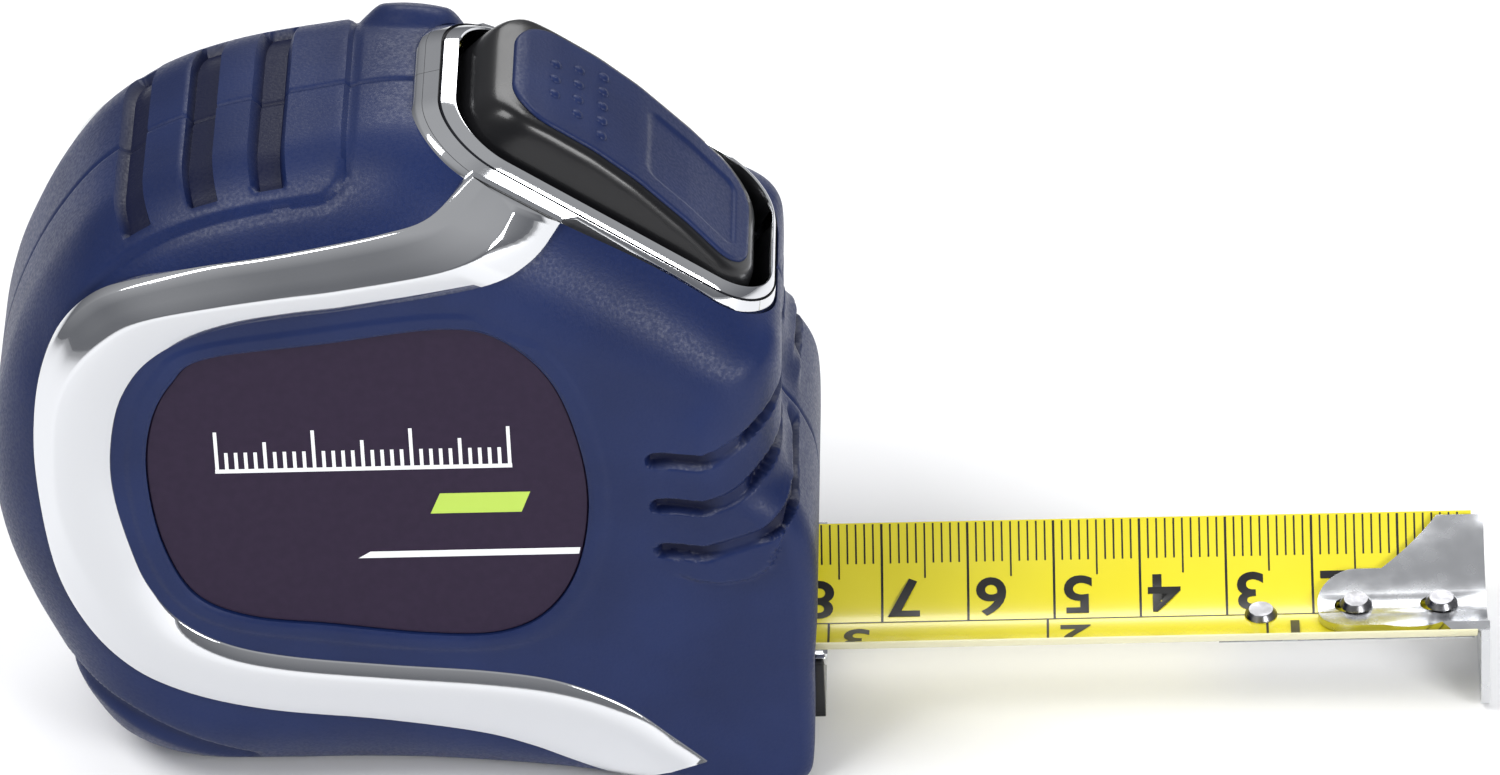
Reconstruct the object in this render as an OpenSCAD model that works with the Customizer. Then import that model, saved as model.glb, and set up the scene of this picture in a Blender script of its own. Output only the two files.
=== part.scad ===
// Pocket tape measure, 8 m, with a rubber-covered case, a thumb release on the sloping
// front and a sprung reel inside. +X is the way the blade comes out, +Z is up, and the
// origin lies on the flat base under the middle of the case.

/* [Case] */
// Half thickness of the case over the chrome bands
half_thick = 22.4; // [22:0.1:24]
// Half thickness of the rubber side face
grip_half = 21.6; // [21.4:0.1:22]
// Half thickness of the hard shell under the rubber
shell_half = 18.4; // [18:0.1:19]
// Half width of the hollow inside the shell
cavity_half = 15.8; // [15.6:0.1:16]
// Rubber thickness round the rim
rubber_t = 1.8; // [1.6:0.1:2]
// Shell wall thickness round the rim
wall_t = 1.8; // [1.6:0.1:2]
// Radius of the four long screw posts
boss_r = 3; // [2.6:0.1:3.2]

/* [Blade] */
// Height of the blade's two edges above the base
blade_edge_z = 13; // [12.8:0.1:13.2]
// Half width of the curved blade, edge to edge
blade_half_w = 11.5; // [11:0.1:11.6]
// Depth of the blade's trough
blade_depth = 6.05; // [5.8:0.05:6.2]
// Thickness of the blade with its coating
blade_t = 0.15; // [0.12:0.01:0.2]
// Where the blade meets the mouth
mouth_x = 45.3; // [45.2:0.1:45.6]
// Zero mark of the blade, the outer face of the hook
zero_x = 124; // [110:1:130]
// Thickness of the hook's steel
hook_t = 1; // [0.8:0.1:1.2]
// How far the hook floats outwards on its rivets
hook_float = 1; // [0.8:0.1:1.2]

/* [Reel] */
// Reel axis along the case
reel_x = -6; // [-7:0.5:-5]
// Reel axis above the base
reel_z = 41.5; // [41.2:0.1:42]
// Outer radius of the wound blade
coil_r = 27.4; // [26:0.1:27.5]
// Outer radius of the drum that the blade winds on
drum_r = 19; // [18:0.5:20]
// Radius of the two drum flanges
flange_r = 28; // [27.6:0.1:28.5]
// Radius of the fixed centre post
post_r = 3; // [2.8:0.1:3.2]
// Full width of the blade when it lies flat on the reel
blade_flat_w = 27; // [26:0.5:27]

/* [Release] */
// Slope of the button and its bezel
slope = 35.5; // [35:0.5:36]
// Half width of the bezel
bezel_half_w = 14.6; // [14:0.1:15]
// Half width of the button
button_half_w = 11.5; // [11:0.1:11.6]
// Radius of the two pivot pins
pin_r = 1.2; // [1:0.1:1.4]

/* [Belt clip] */
// Width of the clip
clip_w = 18; // [14:1:20]
// Spring steel thickness
clip_t = 0.8; // [0.7:0.1:1]
// Clear gap behind the clip
clip_gap = 5; // [4.6:0.1:5.4]

/* [Hidden] */
$fn = 64;
play = 0.05;
blade_radius = (blade_half_w * blade_half_w + blade_depth * blade_depth) / (2 * blade_depth);
blade_axis_z = blade_edge_z - blade_depth + blade_radius;
blade_edge_angle = asin(blade_half_w / blade_radius);
case_centre = [0, 41];
cap_centre = [1.7, 43.3];
slope_origin = [24.5, 72.8];
button_pivot = [35.4, 57];
brake_pivot = [34, 22];
boss_at = [[-30.5, 66], [-33, 17.5], [7, 71.5], [36.5, 46.5]];
// Steps of the shell's rounded edge: [half width, distance in from the rubber's rim]
shell_steps = [[13, rubber_t], [16.8, 4], [shell_half, 7.4]];
hollow_steps = [[11.9, rubber_t + wall_t], [cavity_half, 6]];
screw_head_y = 15.4;
seat_y = 15.3;
pin_end = 16.6;
post_end = 17.4;
rivet_x = [zero_x - 15.1, zero_x - 5.2];
lone_rivet_x = zero_x - 26.1;
mouth_half_w = 13.6;
mouth_z = [3.9, 15.5];
spring_n = [-9.8, -5];
strip_gap = [1.3, 1.8];
spring_u = -7.5;
bezel_n = [-3.6, -0.4, 1.4];
rivet_r = 1.2;
rivet_head_r = 1.9;
rivet_foot = 0.4;
backing_t = 0.5;
blade_low = blade_edge_z - blade_depth;
blade_top = blade_low + blade_t;
rubber_color = [0.15, 0.19, 0.38];
chrome_color = [0.86, 0.87, 0.9];
black_color = [0.08, 0.08, 0.09];
steel_color = [0.74, 0.75, 0.78];
yellow_color = [0.92, 0.86, 0.18];
shell_color = [0.1, 0.12, 0.2];

// Middle outline of the case as corner points [x, z, edge rounding], clockwise from the
// front top. A smooth closed curve runs through them.
rim = [
    [44, 57.5, 9], [43, 50, 9], [43.2, 42.5, 7], [45.6, 38, 5], [47.2, 33, 3.5],
    [47.3, 25, 3], [46.6, 15, 2.5], [46.3, 5, 2], [45.4, 0.7, 2], [42, 0, 2],
    [30, 0, 4], [18, 0, 8], [2, 0, 11], [-14, 0, 12], [-26, 0.8, 12],
    [-33.4, 4, 12], [-37.4, 9.5, 12], [-39.8, 16, 12], [-43, 24, 12], [-45.3, 32, 12],
    [-46.1, 40, 12], [-45.4, 48, 12], [-43.7, 55, 12], [-41.2, 61.5, 13],
    [-37.6, 68, 13], [-32.4, 74, 13], [-26, 78.6, 13], [-18, 81.7, 13],
    [-8, 83.7, 13], [3, 85.2, 14], [12, 82.3, 14], [22, 76.2, 14], [32, 69, 12],
    [40, 61.8, 10]
];
rim_steps = 2;

// Chrome band stations: outer edge, crease and inner edge, each as [x, z], and the depth
// of the outer and the inner edge from the middle plane.
band = [
    [[10.8, 82.2], [15.6, 79], [20.4, 75.6], 15.2, 15.2],
    [[6, 79.2], [12.6, 76], [17, 73], 18.6, 19],
    [[0.8, 78], [7, 73.9], [11.3, 71.2], 20, 21.2],
    [[-6.4, 76.6], [-4, 72], [-3, 69], 20.5, 21.8],
    [[-13, 75.4], [-11, 71.1], [-10, 68.1], 20.5, 21.8],
    [[-20, 74.1], [-17.6, 70.2], [-16.6, 67], 20.5, 21.8],
    [[-28.4, 71.8], [-25.4, 68.8], [-22.4, 65], 20.5, 21.8],
    [[-33, 69.2], [-30.2, 66.4], [-26.4, 62.3], 20, 21.8],
    [[-36.6, 65], [-34.4, 62.2], [-29, 58.8], 20, 21.8],
    [[-39, 59], [-37, 57], [-30.6, 54.6], 20, 21.8],
    [[-40.2, 51], [-38, 49], [-31.5, 48.6], 20, 21.8],
    [[-40.2, 43], [-37.8, 42], [-31.3, 43], 20, 21.8],
    [[-38.9, 32.5], [-36, 34.6], [-30, 36.2], 20, 21.8],
    [[-36, 25], [-33.2, 28.4], [-28.4, 31], 20, 21.8],
    [[-31.7, 19.8], [-29.2, 23.8], [-25.2, 26], 20, 21.8],
    [[-24.7, 15.6], [-23, 19.8], [-20.2, 22.6], 20, 21.8],
    [[-15.7, 13], [-14.6, 17.4], [-13.2, 20.6], 20, 21.8],
    [[-3, 11.3], [-2.4, 15.9], [-2, 19.1], 20, 21.8],
    [[8, 9.2], [9, 14.4], [10, 17.8], 20, 21.8],
    [[14, 7.1], [16, 12.6], [18, 16], 19.9, 21.8],
    [[18.4, 4.8], [21.6, 9.8], [25, 12.4], 19.7, 21.8],
    [[22.2, 2.6], [26.4, 6.2], [30.4, 7.6], 19.6, 21.8],
    [[25, 1.2], [29.6, 3], [34, 4.2], 19.6, 21.8]
];

// Top finger groove's stations: [x, half width, z, turn of its outward side from the side
// face to the front, how much further forward each lower groove stands]
groove = [
    [28.7, 21.6, 47, 0, 0], [35, 21.6, 47.2, 0, 0], [38, 20.6, 48.6, 30, 0.2],
    [40.6, 18.8, 50.3, 50, 0.3], [42.5, 15.5, 51.6, 74, 0.5], [43.1, 8, 52, 88, 0.6],
    [43.1, -0.5, 52, 90, 0.6]
];
groove_step = 6.35;

// Label corners [x, z], clockwise from the top
label_rim = [
    [6.5, 65.9], [13.1, 64.3], [18.4, 58.6], [21.2, 50], [22, 41], [20.3, 32], [16.6, 26],
    [11.1, 23.2], [3.1, 23.2], [-8, 24.8], [-17.3, 26.2], [-23.3, 29.6], [-26.5, 37],
    [-27.6, 46.6], [-26.6, 54], [-24, 59.2], [-20, 62.5], [-7, 64.2]
];

// ---- curves ----

function wrap(list, i) = list[(i + len(list)) % len(list)];

function spline_at(a, b, c, d, t) =
    ((2 * b) + (c - a) * t + (2 * a - 5 * b + 4 * c - d) * t * t
        + (3 * b - a - 3 * c + d) * t * t * t) / 2;

// Smooth closed curve through all the points of a list
function smooth_loop(list, steps) = [
    for (i = [0:len(list) - 1])
        for (k = [0:steps - 1])
            spline_at(wrap(list, i - 1), list[i], wrap(list, i + 1), wrap(list, i + 2), k / steps)
];

// A point moved towards the middle of the case
function inset(p, d) =
    let (q = [p[0], p[1]] - case_centre)
        case_centre + q * (1 - d / norm(q));

// The rim curve, held level where it runs along the base
function rim_curve() = [for (p = smooth_loop(rim, rim_steps)) [p[0], max(0, p[1]), p[2]]];

function rim_outline(d) = [for (p = rim_curve()) inset(p, d)];

// How far a rim point pulls in where the side's long edge rounds off
function edge_drop(p, y) =
    let (r = p[2], past = max(0, y - (grip_half - r)))
        r - sqrt(max(0, r * r - past * past));

// Triangles over a grid of rings, closed round each ring
function grid_faces(rings, n) = [
    for (i = [0:rings - 2])
        for (j = [0:n - 1])
            let (a = i * n + j, b = i * n + (j + 1) % n)
                each [[a, b, b + n], [a, b + n, a + n]]
];

// ---- shared shapes ----

// A flat outline in X and Z, extruded from y0 to y1
module side_plate(points, y0, y1) {
    translate([0, y1, 0])
        rotate([90, 0, 0])
            linear_extrude(height = y1 - y0)
                polygon(points);
}

// A round bar along Y
module cross_bar(at, r, y0, y1) {
    translate([at[0], y1, at[1]])
        rotate([90, 0, 0])
            cylinder(r = r, h = y1 - y0);
}

module block(x0, x1, y0, y1, z0, z1) {
    translate([x0, y0, z0])
        cube([x1 - x0, y1 - y0, z1 - z0]);
}

// Rounded rectangle drawn by four circles and two bars
module rounded_bar(x0, x1, half_w, r) {
    translate([x0 + r, -half_w])
        square([x1 - x0 - 2 * r, 2 * half_w]);
    translate([x0, -half_w + r])
        square([x1 - x0, 2 * half_w - 2 * r]);
    for (x = [x0 + r, x1 - r], y = [r - half_w, half_w - r])
        translate([x, y])
            circle(r = r);
}

// Puts its child on the sloping front: local X runs down the slope, local Z stands off it
module on_slope() {
    translate([slope_origin[0], 0, slope_origin[1]])
        rotate([0, slope, 0])
            children();
}

// Solid between two radii about the blade's own axis, within +-angle of straight down
module trough(r_in, r_out, angle, x0, x1) {
    reach = 40;
    translate([x0, 0, blade_axis_z])
        rotate([90, 0, 90])
            linear_extrude(height = x1 - x0)
                intersection() {
                    difference() {
                        circle(r = r_out, $fn = 128);
                        circle(r = r_in, $fn = 128);
                    }
                    polygon([
                        [0, 0], [-reach * tan(angle), -reach], [reach * tan(angle), -reach]
                    ]);
                }
}

// Keeps one half of the case: side is -1 for the right half and 1 for the left
module half_space(side) {
    y0 = side < 0 ? -40 : 0;
    block(-60, 60, y0, y0 + 40, -5, 100);
}

// Everything that the mouth opening takes out of the front wall
module mouth_cut() {
    block(40, 60, -mouth_half_w, mouth_half_w, mouth_z[0], mouth_z[1]);
}

// Everything that the bezel and the button take out of the sloping front
module bezel_space() {
    on_slope()
        translate([0, 0, bezel_n[0]])
            linear_extrude(height = 30)
                rounded_bar(-24, 24.2, bezel_half_w, 9);
}

// ---- hard shell ----

// Stepped half of the case: each step is [half width, distance in from the rim]
module stepped_half(side, steps) {
    for (i = [0:len(steps) - 1])
        let (y = side * steps[i][0])
            side_plate(rim_outline(steps[i][1]), min(0, y), max(0, y));
}

// The same on both sides of the middle plane
module stepped_body(steps) {
    for (s = steps)
        side_plate(rim_outline(s[1]), -s[0], s[0]);
}

module shell_posts(side) {
    y = side * shell_steps[1][0];
    for (p = boss_at)
        cross_bar(p, boss_r, min(0, y), max(0, y));
}

// Round pads inside the side wall that hold the ends of the post and the pins
module pin_seats(side) {
    y = [side * seat_y, side * shell_half];
    cross_bar([reel_x, reel_z], post_r + 1.6, min(y), max(y));
    cross_bar(button_pivot, pin_r + 1.5, min(y), max(y));
    cross_bar(brake_pivot, pin_r + 1.5, min(y), max(y));
}

// Ledge under the button's spring
module spring_shelf(side) {
    y = side * cavity_half;
    on_slope()
        block(spring_u - 4.5, spring_u + 4, min(0, y), max(0, y), spring_n[0] - 1.6, spring_n[0]);
}

module shell(side) {
    color(shell_color)
        difference() {
            union() {
                difference() {
                    stepped_half(side, shell_steps);
                    stepped_half(side, hollow_steps);
                }
                intersection() {
                    union() {
                        shell_posts(side);
                        pin_seats(side);
                        spring_shelf(side);
                    }
                    stepped_half(side, shell_steps);
                }
            }
            mouth_cut();
            on_slope()
                translate([0, 0, -9])
                    linear_extrude(height = 25)
                        rounded_bar(-21.6, 22.6, button_half_w + 0.7, 7);
            for (p = boss_at)
                if (side < 0)
                    cross_bar(p, 1.1, -14, 1);
                else {
                    cross_bar(p, 1.3, -1, 20);
                    cross_bar(p, 2.3, screw_head_y, 20);
                }
            bezel_space();
            cross_bar([reel_x, reel_z], post_r, -post_end, post_end);
            cross_bar(button_pivot, pin_r, -pin_end, pin_end);
            cross_bar(brake_pivot, pin_r, -pin_end, pin_end);
            if (side > 0)
                cross_bar([reel_x, reel_z], 1.5, 10, 30);
        }
}

module shell_right() shell(-1);
module shell_left() shell(1);

// ---- rubber overmould ----

// Half of the rubber body: rings of the rim curve, pulled in as they near the side face
module grip_body(side) {
    depth = [0, 8, 12, 15, 17.5, 19.4, 20.8, grip_half];
    loop = rim_curve();
    n = len(loop);
    points = [
        for (y = depth)
            for (p = loop)
                let (q = inset(p, edge_drop(p, y))) [q[0], side * y, q[1]]
    ];
    middle = n * len(depth);
    caps = [
        for (j = [0:n - 1])
            let (k = (j + 1) % n, last = n * (len(depth) - 1))
                each [[middle, k, j], [middle + 1, last + j, last + k]]
    ];
    sides = concat(grid_faces(len(depth), n), caps);
    centres = [for (y = [0, grip_half]) [cap_centre[0], side * y, cap_centre[1]]];
    polyhedron(
        points = concat(points, centres),
        faces = side < 0 ? sides : [for (f = sides) [f[2], f[1], f[0]]]
    );
}

// Small raised knob on the far half, behind the bezel
module knob() {
    translate([3.4, 15.2, 79.8])
        sphere(r = 4.8);
}

// Three slots across the top of the rear
module top_slots() {
    for (p = [[-12.2, 82], [-20.2, 79.9], [-28, 76.2]])
        cross_bar(p, 1.4, -16, 16);
}

// Three grooves that run level on the side, sweep up and go round the front corner
module finger_grooves(side) {
    half = 0.55;
    for (k = [0:2]) {
        stations = [for (s = groove) [s[0] + k * s[4], s[1], s[2] - k * groove_step, s[3]]];
        count = len(stations);
        points = [
            for (s = stations)
                for (c = [[-0.9, -half], [4, -half], [4, half], [-0.9, half]])
                    [s[0] + c[0] * sin(s[3]), side * (s[1] + c[0] * cos(s[3])), s[2] + c[1]]
        ];
        last = 4 * (count - 1);
        faces = concat(
            grid_faces(count, 4),
            [[2, 1, 0], [3, 2, 0], [last, last + 1, last + 2], [last, last + 2, last + 3]]
        );
        polyhedron(
            points = points,
            faces = side < 0 ? faces : [for (f = faces) [f[2], f[1], f[0]]]
        );
    }
}

module grip(side) {
    face = side * (grip_half - 1);
    color(rubber_color)
        difference() {
            union() {
                grip_body(side);
                if (side > 0)
                    knob();
            }
            stepped_body(shell_steps);
            side_plate(smooth_loop(label_rim, 3), min(face, 30 * side), max(face, 30 * side));
            band_solid(side);
            mouth_cut();
            bezel_space();
            top_slots();
            finger_grooves(side);
            if (side > 0)
                cross_bar([reel_x, reel_z], 1.5, 10, 40);
        }
}

module grip_right() grip(-1);
module grip_left() grip(1);

// ---- chrome bands and labels ----

// Sweeps a five-sided strip along the band stations
module band_solid(side) {
    n = 5;
    rings = [
        for (s = band)
            let (deep = min(0.9, s[3] - bezel_half_w - play))
                [
                    [s[0][0], s[3], s[0][1]],
                    [s[1][0], (s[3] + s[4]) / 2 + (half_thick - 20.9), s[1][1]],
                    [s[2][0], s[4], s[2][1]],
                    [s[2][0], s[4] - deep, s[2][1]],
                    [s[0][0], s[3] - deep, s[0][1]]
                ]
    ];
    points = [for (ring = rings) for (p = ring) [p[0], side * p[1], p[2]]];
    last = n * (len(band) - 1);
    faces = concat(
        grid_faces(len(band), n),
        [
            [2, 1, 0], [3, 2, 0], [4, 3, 0],
            [last, last + 1, last + 2], [last, last + 2, last + 3], [last, last + 3, last + 4]
        ]
    );
    polyhedron(
        points = points,
        faces = side < 0 ? faces : [for (f = faces) [f[2], f[1], f[0]]]
    );
}

// The strip rests on the shell where the shell's steps come up to it
module side_band(side) {
    color(chrome_color)
        difference() {
            band_solid(side);
            stepped_body(shell_steps);
        }
}

module band_right() side_band(-1);
module band_left() side_band(1);

module label(side) {
    outer = side * (grip_half - 0.4);
    inner = side * (grip_half - 1);
    color([0.23, 0.19, 0.26])
        difference() {
            side_plate(smooth_loop(label_rim, 3), min(outer, inner), max(outer, inner));
            if (side > 0)
                cross_bar([reel_x, reel_z], 1.5, 10, 40);
        }
}

module label_right() label(-1);
module label_left() label(1);

// ---- release button and its bezel ----

module bezel_ring(half_w, x0, x1, r, z0, z1) {
    translate([0, 0, z0])
        linear_extrude(height = z1 - z0)
            difference() {
                rounded_bar(x0, x1, half_w, r);
                rounded_bar(-20.9, 21.9, button_half_w + 0.5, 7);
            }
}

module bezel(side) {
    color(chrome_color)
        intersection() {
            on_slope()
                union() {
                    bezel_ring(bezel_half_w, -24, 24.2, 9, bezel_n[0], bezel_n[1]);
                    bezel_ring(bezel_half_w - 1.4, -22.6, 22.9, 8, bezel_n[1], bezel_n[2]);
                }
            half_space(side);
        }
}

module bezel_right() bezel(-1);
module bezel_left() bezel(1);

// Side profile of the button in slope coordinates, from the rear along the top
button_profile = [
    [-19.8, -5], [-19.8, 0.6], [-18.6, 3.2], [-17, 5.4], [-15, 6.3], [-11, 6.5], [-5, 6.4],
    [1, 5.7], [9, 4], [16.5, 1.9], [20.8, 0.8], [20.8, -5]
];

// Top edge only, lifted by d
function button_top(d) = [for (i = [2:9]) button_profile[i] + [0, d]];

module button_block(points, half_w) {
    translate([0, half_w, 0])
        rotate([90, 0, 0])
            linear_extrude(height = 2 * half_w)
                polygon(points);
}

module inlay_space(grow) {
    intersection() {
        button_block(concat(button_top(0.3), [[16.5, -0.2], [1, 4.1], [-11, 5], [-16.4, 4.6]]), 14);
        translate([0, 0, -1])
            linear_extrude(height = 12)
                rounded_bar(-15.6 - grow, 16 + grow, 8.8 + grow, 5);
    }
}

module lock_button() {
    color(black_color)
        difference() {
            union() {
                on_slope()
                    difference() {
                        intersection() {
                            button_block(button_profile, 14);
                            translate([0, 0, -6])
                                linear_extrude(height = 14)
                                    rounded_bar(-19.8, 20.8, button_half_w, 7);
                        }
                        inlay_space(0);
                    }
                side_plate([[28, 64.5], [36, 59.5], [32, 54], [31.8, 37], [29, 37]], -3, 3);
                cross_bar(button_pivot, 2.8, -9, 9);
            }
            cross_bar(button_pivot, pin_r + play, -20, 20);
        }
}

module button_inlay() {
    color(rubber_color)
        on_slope()
            inlay_space(0);
}

module button_pin() {
    color(steel_color)
        cross_bar(button_pivot, pin_r, -pin_end, pin_end);
}

// Small compression spring between the shell's ledge and the button
module lock_spring() {
    turns = 4;
    per_turn = 14;
    sides = 6;
    wire = 0.4;
    coil = 2.6;
    low = spring_n[0] + wire + play;
    height = spring_n[1] - spring_n[0] - 2 * (wire + play);
    total = turns * per_turn;
    points = [
        for (i = [0:total])
            let (a = 360 * i / per_turn, z = low + height * i / total)
                for (j = [0:sides - 1])
                    let (b = 360 * j / sides, r = coil + wire * cos(b))
                        [r * cos(a) + spring_u, r * sin(a), z + wire * sin(b)]
    ];
    last = total * sides;
    color(steel_color)
        on_slope()
            polyhedron(
                points = points,
                faces = concat(
                    [for (f = grid_faces(total + 1, sides)) [f[2], f[1], f[0]]],
                    [[for (j = [0:sides - 1]) j], [for (j = [sides - 1:-1:0]) last + j]]
                )
            );
}

// ---- blade brake ----

module brake_lever() {
    color(black_color)
        difference() {
            union() {
                side_plate([[32.6, 22], [35.4, 22], [34.8, 37.5], [32.6, 37.5]], -3, 3);
                side_plate([[34, 24.6], [34, 19.4], [20, 15.2], [13.5, 15.2], [13.5, 17.2]], -3, 3);
                cross_bar(brake_pivot, 2.8, -8, 8);
            }
            cross_bar(brake_pivot, pin_r + play, -20, 20);
        }
}

module brake_pad() {
    color([0.12, 0.12, 0.12])
        block(13.5, 19.5, -4, 4, 12, 15.2);
}

module brake_pin() {
    color(steel_color)
        cross_bar(brake_pivot, pin_r, -pin_end, pin_end);
}

// ---- reel ----

module reel_post() {
    color(steel_color)
        difference() {
            cross_bar([reel_x, reel_z], post_r, -post_end, post_end);
            cross_bar([reel_x, reel_z], 1.2, 9, 20);
        }
}

module reel_drum() {
    color([0.85, 0.85, 0.82])
        difference() {
            union() {
                cross_bar([reel_x, reel_z], flange_r, 13.8, 15);
                cross_bar([reel_x, reel_z], drum_r, -13.8, 13.8);
            }
            cross_bar([reel_x, reel_z], drum_r - 1.4, -14, 12.6);
            cross_bar([reel_x, reel_z], post_r + play, -20, 20);
        }
}

module drum_cover() {
    color([0.85, 0.85, 0.82])
        difference() {
            cross_bar([reel_x, reel_z], flange_r, -15, -13.8);
            cross_bar([reel_x, reel_z], post_r + play, -20, 20);
        }
}

// Flat spiral spring, wound from the post towards the drum wall
module power_spring() {
    turns = 6;
    per_turn = 20;
    total = turns * per_turn;
    r0 = post_r + 0.06;
    r1 = drum_r - 2.6;
    thick = 0.5;
    spiral = [
        for (i = [0:total])
            let (a = 360 * i / per_turn, r = r0 + (r1 - r0) * i / total)
                [a, r]
    ];
    rim_points = concat(
        [for (s = spiral) [s[1] * cos(s[0]), s[1] * sin(s[0])]],
        [for (i = [total:-1:0]) [(spiral[i][1] + thick) * cos(spiral[i][0]),
            (spiral[i][1] + thick) * sin(spiral[i][0])]]
    );
    color(steel_color)
        translate([reel_x, 0, reel_z])
            side_plate(rim_points, -12, 12);
}

module blade_coil() {
    half = blade_flat_w / 2;
    color(yellow_color)
        difference() {
            cross_bar([reel_x, reel_z], coil_r, -half, half);
            cross_bar([reel_x, reel_z], drum_r, -half - 1, half + 1);
        }
}

// ---- blade, hook and rivets ----

// The stretch inside the case, which opens from flat on the reel to curved at the mouth
module blade_lead() {
    across = 8;
    along = 10;
    start = [reel_x + 1, reel_z - coil_r - 0.4];
    stop_x = mouth_x - 0.1;
    lower = blade_edge_z - blade_depth;
    points = [
        for (side = [0, 1])
            for (i = [0:along])
                for (j = [0:across])
                    let (
                        t = i / along,
                        e = t * t * (3 - 2 * t),
                        v = 2 * j / across - 1,
                        half = blade_flat_w / 2 * (1 - e) + blade_half_w * e,
                        y = v * half,
                        dip = lower + blade_radius
                            - sqrt(blade_radius * blade_radius - pow(v * blade_half_w, 2))
                    )
                        [start[0] + (stop_x - start[0]) * t, y,
                            start[1] * (1 - e) + dip * e + (side == 0 ? 0 : blade_t)]
    ];
    n = across + 1;
    m = (along + 1) * n;
    flat = [
        for (i = [0:along - 1])
            for (j = [0:across - 1])
                let (a = i * n + j)
                    each [[a, a + 1, a + n + 1], [a, a + n + 1, a + n]]
    ];
    edges = concat(
        [for (i = [0:along - 1]) let (a = i * n)
            each [[a, a + n, a + m], [a + n, a + n + m, a + m]]],
        [for (i = [0:along - 1]) let (a = i * n + across)
            each [[a + n, a, a + m], [a + n, a + m, a + n + m]]],
        [for (j = [0:across - 1]) each [[j + 1, j, j + m], [j + 1, j + m, j + 1 + m]]],
        [for (j = [0:across - 1]) let (a = along * n + j)
            each [[a, a + 1, a + m], [a + 1, a + 1 + m, a + m]]]
    );
    top = [for (f = flat) [f[2] + m, f[1] + m, f[0] + m]];
    color(yellow_color)
        polyhedron(points = points, faces = concat(flat, top, edges));
}

module blade() {
    color(yellow_color)
        difference() {
            trough(blade_radius - blade_t, blade_radius, blade_edge_angle, mouth_x, zero_x - 1.4);
            for (x = concat(rivet_x, [lone_rivet_x]))
                translate([x, 0, 0])
                    cylinder(r = rivet_r, h = 12);
        }
}

module rivet(x, under, head_z) {
    translate([x, 0, under])
        cylinder(r = rivet_r, h = head_z - under);
    translate([x, 0, head_z])
        cylinder(r1 = rivet_head_r, r2 = rivet_head_r - 0.5, h = 0.7);
    translate([x, 0, under - rivet_foot])
        cylinder(r = rivet_head_r, h = rivet_foot);
}

module lone_rivet() {
    color(steel_color)
        rivet(lone_rivet_x, blade_low - backing_t, blade_top + 0.15);
}

module hook_rivets() {
    color(steel_color)
        for (x = rivet_x)
            rivet(x, blade_low - backing_t, blade_top + hook_t + 0.35);
}

// Stiffening plate riveted under the end of the blade
module hook_backing() {
    color(steel_color)
        difference() {
            trough(blade_radius, blade_radius + backing_t, 26, lone_rivet_x - 5, zero_x - 1.6);
            for (x = concat(rivet_x, [lone_rivet_x]))
                translate([x, 0, 0])
                    cylinder(r = rivet_r, h = 12);
        }
}

// Slot that lets the hook float on a rivet
module rivet_slot(x) {
    for (d = [0, -hook_float - 0.2])
        translate([x + d, 0, 0])
            cylinder(r = rivet_r + 0.1, h = 14);
    block(x - hook_float - 0.2, x, -rivet_r - 0.1, rivet_r + 0.1, 0, 14);
}

module hook() {
    outer = blade_radius - blade_t - 0.1;
    tab_x = zero_x - hook_t;
    color(steel_color)
        union() {
            difference() {
                trough(outer - hook_t, outer, blade_edge_angle - 2, zero_x - 19.5, zero_x);
                difference() {
                    block(zero_x - 25, zero_x - 4.5, -20, 20, 0, 30);
                    translate([zero_x - 30, 0, 0])
                        linear_extrude(height = 30)
                            union() {
                                rounded_bar(10.5, 36, 5.4, 4.6);
                                polygon([[18, -5.4], [25.6, -11], [25.6, 11], [18, 5.4]]);
                            }
                }
                for (x = rivet_x)
                    rivet_slot(x);
            }
            hook_tab(tab_x);
        }
}

// The down-turned end of the hook, which hangs past the end of the blade
module hook_tab(tab_x) {
    low = 0.4;
    half = blade_half_w - 0.8;
    r = 2.5;
    difference() {
        translate([tab_x, 0, 0])
            rotate([90, 0, 90])
                linear_extrude(height = hook_t)
                    union() {
                        translate([-half + r, low])
                            square([2 * half - 2 * r, 8]);
                        translate([-half, low + r])
                            square([2 * half, 10]);
                        for (y = [r - half, half - r])
                            translate([y, low + r])
                                circle(r = r);
                    }
        translate([tab_x - 1, 0, blade_axis_z])
            rotate([0, 90, 0])
                cylinder(r = blade_radius - blade_t - 0.1 - hook_t, h = hook_t + 2, $fn = 128);
    }
}

// ---- mouth ----

// Black lip under the blade, which takes the knock of the hook
module mouth_guard() {
    color(black_color)
        difference() {
            block(43.6, 47.5, -mouth_half_w, mouth_half_w, mouth_z[0], 11.5);
            translate([30, 0, blade_axis_z])
                rotate([0, 90, 0])
                    cylinder(r = blade_radius + strip_gap[1], h = 40, $fn = 128);
        }
}

// Steel wear strip between the lip and the blade
module mouth_strip() {
    color(chrome_color)
        trough(blade_radius + strip_gap[0], blade_radius + strip_gap[1], 56, 42, 47.7);
}

// ---- belt clip and screws ----

function arc(cy, cz, r, from, to, n) = [
    for (i = [0:n])
        let (a = from + (to - from) * i / n) [cy + r * cos(a), cz + r * sin(a)]
];

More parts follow.
